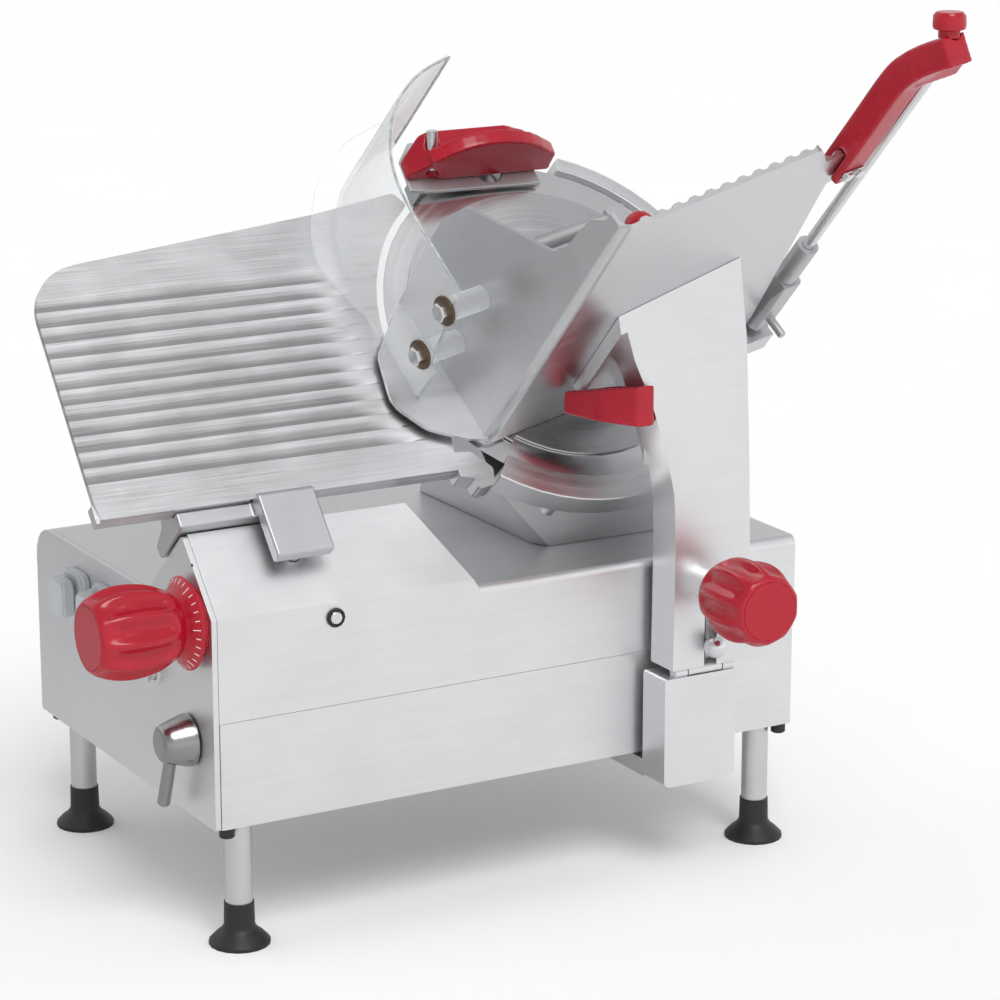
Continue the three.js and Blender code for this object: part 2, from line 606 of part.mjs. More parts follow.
// ---- carriage arm -------------------------------------------------------
// Frame on the arm's outer side, z outwards along the lock knob's axis.
const lockFrame = chain(moved(ARM_OUT, ...LOCK_POS), turnY(PI / 2));
const LATCH = [167, 219]; // y, z of the latch's ball
const underFloor = () => box(-300, 700, -600, -GAP, -500, 700, trayMatrix);

function armOutline() {
  const front = smooth([[130, ARM_BOTTOM], [131, 290], [130, 345], [125.6, 375], [106.6, 439],
    [87.4, 483], [75.8, 525], [68, 560]], 14);
  return [...front, [68, 640], [190, 640], [193, 563], [201.4, 491], [206.5, 380], [208.6, 305],
    [208.6, ARM_BOTTOM]].reverse();
}

function carriageArm() {
  const upright = alongX(armOutline(), ARM_IN, ARM_OUT);
  const web = box(72, 196, -12, -GAP, 41, 150, trayMatrix);
  const gusset = alongY([[ARM_IN + 1, 380], [ARM_IN + 1, 640], [150, 640], [150, 440], [172, 436]],
    120, 150);
  const reach = box(150, ARM_OUT, 60, 220, ARM_BOTTOM, 600);
  const slot = alongX(rounded([[162.5, 190], [175.5, 190], [175.5, 260], [162.5, 260]],
    [0, 0, 5, 5]), 222, 240).add(box(204, 225, 162.6, 171.4, 190, 256));
  return upright.add(web).add(gusset).intersect(reach).intersect(underFloor())
    .subtract(slot).add(rod(15.5, -4, 27, lockFrame))
    .subtract(rod(9, -60, 30, lockFrame)).add(knuckle(5.6, 147, 182))
    .subtract(knuckle(6.4, 133.6, 146.4)).subtract(knuckle(6.4, 182.6, 195.4))
    .subtract(knuckle(3.1, 100, 220));
}

function fingerHandle() {
  const plan = rounded([[162, 56], [206, 66], [243, 86], [243, 103], [234.2, 103], [234.2, 140],
    [196, 140], [180, 88], [163, 68]], [6, 30, 7, 3, 0, 0, 0, 14, 4], 4);
  const pocket = prism(rounded([[172, 68], [206, 76], [228, 92], [228, 96], [196, 96], [182, 82]],
    3, 2), 436, 480);
  const top = alongY([[100, 400], [300, 400], [300, 474], [100, 432]], 0, 200);
  return prism(plan, 426, 480).intersect(top).intersect(underFloor()).subtract(pocket)
    .subtract(armGrown()).subtract(box(71, 197, -12.4, 1, 40, 151, trayMatrix));
}

// The arm with a clearance round it, for cutting the handle that wraps it.
function armGrown() {
  const outline = armOutline().map(([y, z]) => [y < 160 ? y - GAP : y, z]);
  return alongX(outline, ARM_IN - 40, ARM_OUT + GAP);
}

function tiltLatch() {
  const ball = solid(new THREE.SphereGeometry(10.3, 16, 10), moved(ARM_OUT + 11, ...LATCH));
  const stem = rod(3.4, -26, 6, chain(moved(ARM_OUT, ...LATCH), turnY(PI / 2)));
  return ball.add(stem).add(rod(3.6, 199, 223, moved(210, LATCH[0], 0)));
}

function addArm() {
  addPart('carriage_block', carriageBlock(), satin);
  addPart('hinge_pin', knuckle(2.7, 134, 195), steel);
  addPart('carriage_arm', carriageArm(), satin);
  addPart('finger_handle', fingerHandle(), red);
  addPart('lock_knob', place(flutedGrip(28, 0.95).add(rod(8.4, -30, 30)), lockFrame), red);
  addPart('tilt_latch', tiltLatch(), steel);
}

// ---- meat tray and guard (tray frame) -----------------------------------
const rodAxis = moved(ROD_W2, ROD_W1, 0);
const TRAY_FLOOR = [[-6, -60], [287, -60], [286, 40], [252, 257], [274, 262], [274, 298], [228, 298],
  [210, 322], [-6, 301]];
const TRAY_FENCE = [[-6, -60], [150, -60], [155.5, 79], [155.5, 116], [142, 151], [47, 213],
  [38, 232], [33, 276], [22, 290], [4, 303], [-6, 303]];

function trayProfile() {
  const ribs = [];
  for (let x = 19; x < 272; x += 17) {
    ribs.push([x, SHEET], [x + 3, SHEET + 2.6], [x + 8, SHEET + 2.6], [x + 11, SHEET]);
  }
  const bend = arc(9, 9, 9, 1.5 * PI, PI, 5);
  return [[288, SHEET], [288, 0], ...bend, [0, 170], [SHEET, 170], [SHEET, 11], [6, 6],
    [11, SHEET], ...ribs].reverse();
}

// Everything above the swept plane just over the knife, in the tray frame.
const aboveKnife = () => box(-700, 700, -500, 500, CLEAR, 900, knifeToTray);

function trayFlap() {
  const outline = rounded([
    [-112, -110], [-112, -98], [-143, 37], [-157, 27], [-189, -14], [-193, -64], [-168, -92],
    [-133, -107],
  ], [0, 0, 3, 8, 24, 26, 26, 14], 4);
  return prism(outline, CLEAR, CLEAR + SHEET, knifeToTray).subtract(
    box(SHEET / 2, 300, -100, 300, -60, 60));
}

function meatTray() {
  const floor = alongY(rounded(TRAY_FLOOR, [0, 0, 10, 2, 2, 2, 3, 8, 0]), -2, 20);
  const fence = alongX(rounded(TRAY_FENCE, [0, 0, 14, 14, 14, 14, 10, 10, 8, 3, 0]), -2, 9);
  return prism(trayProfile(), -60, 330).intersect(floor.add(fence)).intersect(aboveKnife())
    .add(trayFlap());
}

// Foot under the floor's outer edge that holds the pusher rod's lower end.
function rodBracket() {
  return box(262, 314, -15, 1, -4, 18).add(box(287, 314, -15, 14, -4, 18))
    .subtract(rod(ROD_R + 0.1, -2.3, 30, rodAxis));
}

const GUARD_PATH = [[-166, -60], [-178, -2], [-188.6, 50], [-191, 82], [-186, 110], [-171, 144],
  [-151, 167], [-128, 184], [-97, 197]];

function fenceGuard() {
  const path = smooth(GUARD_PATH, 20);
  const edge = path.slice(4).map(([t, s], i) => {
    const out = new THREE.Vector2(t + 60, s - 30).normalize().multiplyScalar(Math.min(24, 6 + i * 7));
    return [t + out.x, s + out.y];
  });
  const flange = prism([...path.slice(4), ...edge.reverse()].reverse(), CLEAR, CLEAR + 3);
  const slope = alongX([[-90, 180], [-90, 52], [-52, 52], [-33, 150], [-33, 180]], -240, -120);
  const overFlap = box(-260, -100, -100, 8, CLEAR - 1, CLEAR + SHEET + GAP);
  const wall = prism(band(path, GUARD_T), CLEAR, GUARD_TOP).add(flange);
  return place(wall.subtract(slope).subtract(overFlap), knifeToTray);
}

const BOSSES = [[79.5, 36.8], [81, 101]]; // up the fence and along the feed
// Frame on the fence's outer side, z away from the food.
const fenceFrame = ([w1, c]) => chain(moved(0, w1, c), turnY(-PI / 2));

function addTray() {
  addPart('meat_tray', meatTray().add(rodBracket()), satin, trayGroup);
  const boss = (spot) => softRod(11, GAP, GUARD_OFF + 1, 1, fenceFrame(spot));
  addPart('fence_guard', fenceGuard().add(union(BOSSES.map(boss))), clear, trayGroup);
  const bolt = (spot) => turned([[0, 41], [13.5, 41], [13.5, 43.6], [7, 44], [7, 49], [6, 50],
    [0, 50]], fenceFrame(spot));
  addPart('guard_bolt_lower', bolt(BOSSES[0]), bronze, trayGroup);
  addPart('guard_bolt_upper', bolt(BOSSES[1]), bronze, trayGroup);
}

// ---- handle, rod and pusher (tray frame) --------------------------------

// The cap stands upright on the handle's tip.
const capPoint = new THREE.Vector3(262, -18, 450).applyMatrix4(trayMatrix);
const capFrame = chain(trayInverse, moved(...capPoint.toArray()));

function trayHandle() {
  const path = smooth([[4, 266], [4, 330], [4, 388], [0, 413], [-9, 437], [-22, 462]], 20);
  const bar = alongX(band(path.map(([w1, c]) => [w1, c]), 26), 249, 275);
  const ends = alongX(rounded([[-12, 262], [20, 268], [20, 480], [-60, 480], [-60, 300]], 3), 240, 320);
  const lug = box(262, 311, -12, 12, 398, 420);
  const step = box(200, 300, -GAP, SHEET + 2.6 + GAP, 200, 299);
  return bar.intersect(ends).add(lug).subtract(step).subtract(rod(9.4, 13.6, 60, capFrame))
    .subtract(rod(ROD_R + 0.1, 390, 417, rodAxis));
}

const pusherSleeve = () => tube(ROD_R + 0.2, 10.2, 90 + GAP, 138, rodAxis);

const BAR = [97, 128]; // up the fence and along the feed to the pusher's grip bar
const CROSS = [75, 128]; // the same for the cross bar to the rod's side

// Hub on the rod, a riser beside the tray and a cross bar over it that holds the pusher's stem.
function pusherArm() {
  const hub = alongY([[289, 24], [309, 24], [318, 60], [315, 90], [293, 90], [289, 60]],
    ROD_W1 - 12, ROD_W1 + 12).intersect(rod(15, 20, 95, rodAxis));
  const pin = softRod(4, 10, 32, 1, chain(moved(304, ROD_W1, 38), turnX(PI / 2)));
  const riser = alongX(rounded([[10, 56], [24, 62], [84, 116], [84, 136], [68, 136], [10, 84]],
    [0, 6, 4, 4, 4, 0], 3), ROD_W2 - 9, ROD_W2 + 9);
  const bar = softRod(7, 35, 158, 1.5, chain(moved(0, ...BAR), turnY(PI / 2)))
    .add(softRod(7, 140, ROD_W2 + 2, 1.5, chain(moved(0, ...CROSS), turnY(PI / 2))));
  const block = box(137, 157, 62, 104, 118, 136);
  const stem = rod(7, 42, 119, moved(147, 73, 0));
  return union([hub, pin, riser, bar, block, stem, pusherPlate()])
    .subtract(rod(ROD_R + 0.2, 0, 90.5, rodAxis)).subtract(rod(10.5, 90, 150, rodAxis));
}

function pusherPlate() {
  const face = alongY(rounded([[32, 39], [230, 39], [230, 45], [32, 45]], 2, 2), 10.5, 104);
  const spike = new THREE.ConeGeometry(3.4, 9, 4).rotateX(-PI / 2);
  const spikes = [];
  for (let i = 0; i < 8; i += 1) {
    for (let j = 0; j < 3; j += 1) {
      spikes.push(solid(spike, moved(48 + i * 24, 26 + j * 30, 36)));
    }
  }
  return face.add(union(spikes));
}

function addPusher() {
  addPart('tray_handle', trayHandle(), red, trayGroup);
  const bolt = (w2) => hexagon(5.6, 9.3, 14, chain(moved(w2, 0, 280), turnX(PI / 2)));
  const washer = box(250, 274, -10.6, -9.3, 275, 285);
  addPart('handle_bolts', union([255, 269].map(bolt)).add(washer), steel, trayGroup);
  addPart('handle_cap', turned([[0, 14], [9, 14], [9, 20], [13, 21], [13.8, 24], [13.4, 32],
    [11, 35], [0, 35]], capFrame), red, trayGroup);
  addPart('pusher_rod', rod(ROD_R, -2, 416.5, rodAxis), steel, trayGroup);
  addPart('pusher_sleeve', pusherSleeve(), casting, trayGroup);
  addPart('pusher_arm', pusherArm(), casting, trayGroup);
  addPart('pusher_knob', solid(new THREE.SphereGeometry(14, 18, 12), moved(147, 71, 149))
    .intersect(box(100, 200, 20, 120, 136.3, 200)), red, trayGroup);
}

addBase();
addControls();
addIndexKnob();
addKnife();
addKnifeCover();
addRingGuard();
addGauge();
addKnifeDrive();
addSharpener();
addCarriageDrive();
addArm();
addTray();
addPusher();

// The part's origin is on the table, at the middle of the whole outline seen from above.
const outline = new THREE.Box3().setFromObject(group, true).getCenter(new THREE.Vector3());
group.position.set(-outline.x, -outline.y, 0);

export default group;
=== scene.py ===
"""Looks of the automatic meat slicer: materials, soft edges and fine detail, in metres."""
import math

import bmesh
import bpy
from mathutils import Matrix, Vector


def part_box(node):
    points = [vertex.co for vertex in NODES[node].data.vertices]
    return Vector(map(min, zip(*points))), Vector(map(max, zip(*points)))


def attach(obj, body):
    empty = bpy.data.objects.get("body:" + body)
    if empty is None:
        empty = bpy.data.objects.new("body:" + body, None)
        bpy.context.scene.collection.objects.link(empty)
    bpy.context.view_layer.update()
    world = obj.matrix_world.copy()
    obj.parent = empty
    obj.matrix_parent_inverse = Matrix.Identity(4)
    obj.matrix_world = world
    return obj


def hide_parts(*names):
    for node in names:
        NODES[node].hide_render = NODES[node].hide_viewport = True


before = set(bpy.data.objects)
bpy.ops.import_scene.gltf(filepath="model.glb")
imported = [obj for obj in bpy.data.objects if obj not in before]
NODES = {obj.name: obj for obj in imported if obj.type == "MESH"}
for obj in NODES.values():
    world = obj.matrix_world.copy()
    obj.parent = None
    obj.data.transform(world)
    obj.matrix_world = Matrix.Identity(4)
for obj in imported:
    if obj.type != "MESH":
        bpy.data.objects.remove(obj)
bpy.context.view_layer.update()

MM = 0.001


# ---- frames -------------------------------------------------------------
def centre(node):
    low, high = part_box(node)
    return (low + high) / 2


LEG = centre("leg_front_right")
SHIFT = Vector((LEG.x - 0.1676, LEG.y + 0.2629, 0))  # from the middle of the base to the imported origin


def point(x, y, z):
    """A point given in millimetres from the table under the middle of the base."""
    return Vector((x, y, z)) * MM + SHIFT


def axes(origin, x, y, z):
    made = Matrix((x, y, z)).transposed().to_4x4()
    made.translation = origin
    return made


TILT = math.radians(41.25)
SLOPE = Vector((math.cos(TILT), 0, math.sin(TILT)))
KNIFE = axes(point(51.4, 116.2, 478.1), (0, 1, 0), (-math.sin(TILT), 0, math.cos(TILT)), SLOPE)
ROOT = math.sqrt(0.5)
TRAY = axes(point(141.3, 0.6, 408.0), (0, 1, 0), (-ROOT, 0, ROOT), (ROOT, 0, ROOT)) @ Matrix.Rotation(
    math.asin(0.2232), 4, "Z")
PANEL_Y = -293.1


def on_panel(x, z):
    """Frame on the front panel: x to the right, y up, z towards the operator."""
    return axes(point(x, PANEL_Y, z), (1, 0, 0), (0, 0, 1), (0, -1, 0))


LOCK = axes(point(234, 160.5, 276.5), (0, 0, -1), (0, 1, 0), (1, 0, 0))


# ---- material helpers ---------------------------------------------------
class Finish:
    """A material with one Principled shader and short ways to drive it."""

    def __init__(self, name, colour, roughness, metallic=0.0, **sockets):
        self.material = bpy.data.materials.new(name)
        self.material.use_nodes = True
        self.tree = self.material.node_tree
        self.shader = self.tree.nodes["Principled BSDF"]
        self.shader.inputs["Base Color"].default_value = (*colour, 1)
        self.shader.inputs["Roughness"].default_value = roughness
        self.shader.inputs["Metallic"].default_value = metallic
        for key, value in sockets.items():
            self.shader.inputs[key.replace("_", " ")].default_value = value
        self.colour = colour

    def node(self, kind, **values):
        made = self.tree.nodes.new(kind)
        for key, value in values.items():
            setattr(made, key, value)
        return made

    def link(self, out, into):
        self.tree.links.new(out, into)

    def place(self):
        return self.node("ShaderNodeTexCoord").outputs["Object"]

    def stretched(self, scale, turn=(0, 0, 0)):
        """Object coordinates, turned and then stretched."""
        turned = self.node("ShaderNodeMapping")
        turned.inputs["Rotation"].default_value = turn
        self.link(self.place(), turned.inputs["Vector"])
        scaled = self.node("ShaderNodeMapping")
        scaled.inputs["Scale"].default_value = scale
        self.link(turned.outputs["Vector"], scaled.inputs["Vector"])
        return scaled.outputs["Vector"]

    def noise(self, vector, scale=1.0, detail=3.0, rough=0.5):
        made = self.node("ShaderNodeTexNoise")
        made.inputs["Scale"].default_value = scale
        made.inputs["Detail"].default_value = detail
        made.inputs["Roughness"].default_value = rough
        self.link(vector, made.inputs["Vector"])
        return made.outputs["Fac"]

    def spread(self, value, low, high, start=0.3, end=0.7):
        made = self.node("ShaderNodeMapRange")
        for key, number in zip(("From Min", "From Max", "To Min", "To Max"), (start, end, low, high)):
            made.inputs[key].default_value = number
        self.link(value, made.inputs["Value"])
        return made.outputs["Result"]

    def math(self, operation, a, b):
        made = self.node("ShaderNodeMath", operation=operation)
        for socket, value in zip(made.inputs, (a, b)):
            if isinstance(value, (int, float)):
                socket.default_value = value
            else:
                self.link(value, socket)
        return made.outputs["Value"]

    def tint(self, value, dark, light):
        """Base colour between two brightnesses of the finish's own colour."""
        ramp = self.node("ShaderNodeValToRGB")
        for stop, level in zip(ramp.color_ramp.elements, (dark, light)):
            stop.color = (*[c * level for c in self.colour], 1)
        ramp.color_ramp.elements[0].position = 0.3
        ramp.color_ramp.elements[1].position = 0.7
        self.link(value, ramp.inputs["Fac"])
        self.link(ramp.outputs["Color"], self.shader.inputs["Base Color"])

    def rough(self, value):
        self.link(value, self.shader.inputs["Roughness"])

    def bump(self, height, strength, distance):
        made = self.node("ShaderNodeBump")
        made.inputs["Strength"].default_value = strength
        made.inputs["Distance"].default_value = distance
        self.link(height, made.inputs["Height"])
        self.link(made.outputs["Normal"], self.shader.inputs["Normal"])

    def rings(self, radius, scale, detail):
        """Noise that changes with the distance from an axis only."""
        made = self.node("ShaderNodeTexNoise", noise_dimensions="1D")
        made.inputs["Scale"].default_value = scale
        made.inputs["Detail"].default_value = detail
        self.link(radius, made.inputs["W"])
        return made.outputs["Fac"]


def brushed(name, colour, roughness, along, turn=(0, 0, 0), streak=0.5, tone=(0.93, 1.04)):
    """Metal with fine brush lines along one axis (0, 1 or 2) of the turned coordinates."""
    made = Finish(name, colour, roughness, 1.0)
    fine, wide = [900.0] * 3, [130.0] * 3
    fine[along], wide[along] = 14.0, 5.0
    lines = made.noise(made.stretched(fine, turn), 1.0, 4.0, 0.6)
    bands = made.noise(made.stretched(wide, turn), 1.0, 2.0, 0.5)
    haze = made.noise(made.place(), 22.0, 3.0, 0.55)
    both = made.math("ADD", made.math("MULTIPLY", lines, 0.55), made.math("MULTIPLY", bands, 0.45))
    made.tint(made.math("ADD", made.math("MULTIPLY", both, 0.7), made.math("MULTIPLY", haze, 0.3)), *tone)
    made.rough(made.math("ADD", made.spread(both, roughness - 0.05, roughness + 0.05),
                         made.spread(haze, -0.03, 0.03)))
    made.bump(lines, streak, 0.00006)
    return made.material


def satin(name, colour, roughness, grain=0.35, tone=(0.95, 1.03)):
    """Fine-blasted metal: an even grain with slow, faint changes of sheen."""
    made = Finish(name, colour, roughness, 1.0)
    speck = made.noise(made.place(), 1500.0, 2.0, 0.6)
    cloud = made.noise(made.place(), 14.0, 4.0, 0.55)
    drag = made.noise(made.stretched((260.0, 12.0, 260.0)), 1.0, 3.0, 0.5)
    mixed = made.math("ADD", made.math("MULTIPLY", cloud, 0.6), made.math("MULTIPLY", drag, 0.4))
    made.tint(mixed, *tone)
    made.rough(made.math("ADD", made.spread(cloud, roughness - 0.035, roughness + 0.035),
                         made.spread(speck, -0.03, 0.03)))
    made.bump(speck, grain, 0.00005)
    return made.material


def ringed(name, colour, roughness, origin, axis, anisotropy=0.7, tone=(0.9, 1.05)):
    """Metal turned or brushed in circles about an axis."""
    made = Finish(name, colour, roughness, 1.0, Anisotropic=anisotropy)
    offset = made.node("ShaderNodeVectorMath", operation="SUBTRACT")
    made.link(made.place(), offset.inputs[0])
    offset.inputs[1].default_value = origin
    round_about = made.node("ShaderNodeVectorMath", operation="CROSS_PRODUCT")
    round_about.inputs[0].default_value = axis
    made.link(offset.outputs["Vector"], round_about.inputs[1])
    length = made.node("ShaderNodeVectorMath", operation="LENGTH")
    made.link(round_about.outputs["Vector"], length.inputs[0])
    radius = length.outputs["Value"]
    turned = made.node("ShaderNodeVectorTransform", vector_type="VECTOR", convert_from="OBJECT",
                       convert_to="WORLD")
    made.link(round_about.outputs["Vector"], turned.inputs["Vector"])
    unit = made.node("ShaderNodeVectorMath", operation="NORMALIZE")
    made.link(turned.outputs["Vector"], unit.inputs[0])
    made.link(unit.outputs["Vector"], made.shader.inputs["Tangent"])
    fine = made.rings(radius, 1400.0, 3.0)
    wide = made.rings(radius, 160.0, 2.0)
    haze = made.noise(made.place(), 18.0, 3.0, 0.55)
    both = made.math("ADD", made.math("MULTIPLY", fine, 0.5), made.math("MULTIPLY", wide, 0.5))
    made.tint(made.math("ADD", made.math("MULTIPLY", both, 0.6), made.math("MULTIPLY", haze, 0.4)), *tone)
    made.rough(made.math("ADD", made.spread(both, roughness - 0.04, roughness + 0.05),
                         made.spread(haze, -0.02, 0.02)))
    made.bump(fine, 0.25, 0.00004)
    return made.material


def moulded(name, colour, roughness, grain=0.2, size=900.0, tone=(0.9, 1.06), **sockets):
    """Moulded plastic or rubber: fine grain, faint clouding and duller and glossier patches."""
    made = Finish(name, colour, roughness, 0.0, **sockets)
    speck = made.noise(made.place(), size, 3.0, 0.6)
    cloud = made.noise(made.place(), 30.0, 3.0, 0.5)
    made.tint(cloud, *tone)
    made.rough(made.math("ADD", made.spread(cloud, roughness - 0.05, roughness + 0.05),
                         made.spread(speck, -0.03, 0.03)))
    made.bump(speck, grain, 0.00006)
    return made.material


def acrylic(name):
    """Clear sheet: almost all see-through from the front, more of its gloss at a slant."""
    made = Finish(name, (0.93, 0.95, 0.96), 0.05, 0.0, IOR=1.49)
    slant = made.node("ShaderNodeLayerWeight")
    slant.inputs["Blend"].default_value = 0.35
    haze = made.noise(made.stretched((25.0, 25.0, 25.0)), 1.0, 4.0, 0.6)
    made.rough(made.spread(haze, 0.03, 0.1))
    cover = made.math("ADD", made.spread(slant.outputs["Facing"], 0.07, 0.6, 0.1, 0.95),
                      made.spread(haze, -0.02, 0.02))
    made.link(cover, made.shader.inputs["Alpha"])
    return made.material


def painted_edge_highlight(name):
    """Painted highlight for the clear sheet's cut and polished edge: opaque grey gloss with brighter and
    darker streaks.
    """
    made = Finish(name, (0.42, 0.45, 0.46), 0.12, 0.0, IOR=1.49, Coat_Weight=0.5)
    streaks = made.noise(made.stretched((90.0, 90.0, 90.0)), 1.0, 3.0, 0.6)
    # painted highlight: brighter and darker streaks of grey along the edge
    made.tint(streaks, 0.6, 1.35)
    made.rough(made.spread(streaks, 0.08, 0.2))
    return made.material


PLATE_BACK = -0.004  # height under the plate's face where its plain back begins
RIBS_FADE = (0.192, 0.235)  # distances from the knife's axis over which the ribs come in


def ribbed_painted_shade(name, colour, roughness, start, pitch, count):
    """Brushed plate with painted shade that darkens each rib towards its root; the piece lies in the knife's
    frame.
    """
    made = Finish(name, colour, roughness, 1.0)
    parts = made.node("ShaderNodeSeparateXYZ")
    made.link(made.place(), parts.inputs["Vector"])
    across = made.math("SUBTRACT", parts.outputs["Y"], start)
    share = made.math("FRACT", made.math("DIVIDE", across, pitch), 0)
    low = made.math("MULTIPLY", made.math("GREATER_THAN", across, 0.0),
                    made.math("GREATER_THAN", parts.outputs["Z"], PLATE_BACK))
    high = made.math("LESS_THAN", across, pitch * count)
    around = made.node("ShaderNodeCombineXYZ")
    made.link(parts.outputs["X"], around.inputs["X"])
    made.link(parts.outputs["Y"], around.inputs["Y"])
    away = made.node("ShaderNodeVectorMath", operation="LENGTH")
    made.link(around.outputs["Vector"], away.inputs[0])
    # painted shade: only on the ribbed face, faded out round the knife
    painted_shade_mask = made.math("MULTIPLY", made.math("MULTIPLY", low, high),
                     made.spread(away.outputs["Value"], 0.0, 1.0, *RIBS_FADE))
    lines = made.noise(made.stretched((10.0, 800.0, 800.0)), 1.0, 4.0, 0.6)
    haze = made.noise(made.place(), 16.0, 3.0, 0.55)
    # painted shade: the colour darkens towards each rib's root, standing in for shade in the grooves
    root_painted_shade = made.math("MULTIPLY", made.spread(share, 0.62, 0.0, 0.0, 0.8), painted_shade_mask)
    plain = made.math("ADD", made.spread(lines, 0.62, 0.8), made.spread(haze, -0.05, 0.05))
    tone = made.math("SUBTRACT", plain, root_painted_shade)
    ramp = made.node("ShaderNodeValToRGB")
    for stop, level in zip(ramp.color_ramp.elements, (0.42, 1.0)):
        stop.color = (*[c * level for c in colour], 1)
    ramp.color_ramp.elements[0].position = 0.3
    ramp.color_ramp.elements[1].position = 0.8
    made.link(tone, ramp.inputs["Fac"])
    made.link(ramp.outputs["Color"], made.shader.inputs["Base Color"])
    made.rough(made.math("ADD", made.spread(lines, roughness - 0.05, roughness + 0.05),
                         made.spread(haze, -0.03, 0.03)))
    made.bump(lines, 0.3, 0.00006)
    return made.material


ALUMINIUM = (0.78, 0.785, 0.795)
STEEL = (0.74, 0.745, 0.755)
KNIFE_AT = KNIFE.translation
LOOKS = {
    "casting_satin": satin("casting_satin", ALUMINIUM, 0.42),
    "sheet_brushed": brushed("sheet_brushed", (0.66, 0.665, 0.675), 0.34, 1, streak=0.35),
    "plate_ribbed_painted_shade": ribbed_painted_shade("plate_ribbed_painted_shade", ALUMINIUM, 0.33, -0.0967, 0.015, 12),
    "arm_satin": satin("arm_satin", ALUMINIUM, 0.4),
    "casting_rough": satin("casting_rough", (0.56, 0.565, 0.575), 0.45, 0.5),
    "leg_anodised": satin("leg_anodised", (0.66, 0.665, 0.675), 0.4, 0.2),
    "knife_steel": ringed("knife_steel", STEEL, 0.2, KNIFE_AT, SLOPE, 0.6),
    "cover_steel": ringed("cover_steel", (0.56, 0.565, 0.575), 0.28, KNIFE_AT, SLOPE, 0.6),
    "ring_steel": ringed("ring_steel", ALUMINIUM, 0.32, KNIFE_AT, SLOPE, 0.4),
    "bright_steel": brushed("bright_steel", STEEL, 0.2, 2, streak=0.2),
    "lever_steel": ringed("lever_steel", (0.34, 0.335, 0.33), 0.2, point(144, -300, 181), (0, 1, 0), 0.5),
    "rubber_black": moulded("rubber_black", (0.012, 0.012, 0.013), 0.5, 0.4, 700.0, (0.7, 1.3)),
    "plastic_red": moulded("plastic_red", (0.41, 0.003, 0.018), 0.24, 0.12, 800.0, (0.9, 1.05)),
    "button_grey": moulded("button_grey", (0.5, 0.52, 0.54), 0.42, 0.25, 600.0, (0.94, 1.04)),
    "acrylic_clear": acrylic("acrylic_clear"),
    "acrylic_edge_highlight": painted_edge_highlight("acrylic_edge_highlight"),
    "bolt_bronze": brushed("bolt_bronze", (0.16, 0.115, 0.08), 0.36, 2, streak=0.3),
    "motor_black": moulded("motor_black", (0.03, 0.031, 0.034), 0.45, 0.5, 900.0, (0.8, 1.2)),
    "belt_rubber": moulded("belt_rubber", (0.02, 0.02, 0.02), 0.65, 0.5, 900.0, (0.7, 1.3)),
    "grinding_stone": moulded("grinding_stone", (0.32, 0.3, 0.27), 0.9, 1.0, 1400.0, (0.7, 1.2)),
    "mark_white": moulded("mark_white", (0.8, 0.79, 0.77), 0.5, 0.1, 900.0, (0.94, 1.02)),
}
WORN_BY = {
    "casting_satin": ["base_housing", "base_pan", "bottom_cover", "front_panel", "carriage_block"],
    "arm_satin": ["carriage_arm"],
    "leg_anodised": ["leg_front_right", "leg_front_left", "leg_rear_right", "leg_rear_left"],
    "rubber_black": ["foot_front_right", "foot_front_left", "foot_rear_right", "foot_rear_left", "plug_seal",
                     "cable_gland"],
    "knife_steel": ["knife", "knife_hub"],
    "cover_steel": ["knife_cover"],
    "ring_steel": ["ring_guard"],
    "plate_ribbed_painted_shade": ["gauge_plate"],
    "sheet_brushed": ["meat_tray"],
    "casting_rough": ["blade_housing", "gauge_carrier", "sharpener_bracket", "carriage_slider",
                      "pusher_sleeve", "pusher_arm"],
    "bright_steel": ["side_plug", "mode_button", "ring_guard_bolt", "knife_bearing", "motor_pulley",
                     "sharpener_pin", "slide_rod", "drive_pulley", "idler_pulley", "hinge_pin", "tilt_latch",
                     "handle_bolts", "pusher_rod"],
    "lever_steel": ["stroke_lever"],
    "plastic_red": ["index_knob", "lock_knob", "finger_handle", "sharpener_cover", "tray_handle",
                    "handle_cap", "pusher_knob"],
    "button_grey": ["start_button", "stop_button", "button_collars"],
    "acrylic_clear": ["fence_guard"],
    "bolt_bronze": ["guard_bolt_lower", "guard_bolt_upper"],
    "motor_black": ["knife_motor", "carriage_motor"],
    "belt_rubber": ["knife_belt", "carriage_belt"],
    "grinding_stone": ["grinding_stone"],
}


def wear(obj, look):
    """Gives an object one finish only."""
    obj.data.materials.clear()
    obj.data.materials.append(LOOKS[look])


for look, names in WORN_BY.items():
    for name in names:
        wear(NODES[name], look)


# ---- soft edges on the CAD nodes ----------------------------------------
def geometry_group(name):
    made = bpy.data.node_groups.new(name, "GeometryNodeTree")
    made.interface.new_socket("Geometry", in_out="INPUT", socket_type="NodeSocketGeometry")
    made.interface.new_socket("Geometry", in_out="OUTPUT", socket_type="NodeSocketGeometry")
    return made, made.nodes.new("NodeGroupInput"), made.nodes.new("NodeGroupOutput")


def joined_points():
    """Drops imported normals and joins the points that facets share."""
    made, start, end = geometry_group("joined_points")
    drop = made.nodes.new("GeometryNodeRemoveAttribute")
    drop.inputs["Name"].default_value = "custom_normal"
    merge = made.nodes.new("GeometryNodeMergeByDistance")
    merge.inputs["Distance"].default_value = 0.00002
    made.links.new(start.outputs[0], drop.inputs["Geometry"])
    made.links.new(drop.outputs["Geometry"], merge.inputs["Geometry"])
    made.links.new(merge.outputs["Geometry"], end.inputs[0])
    return made


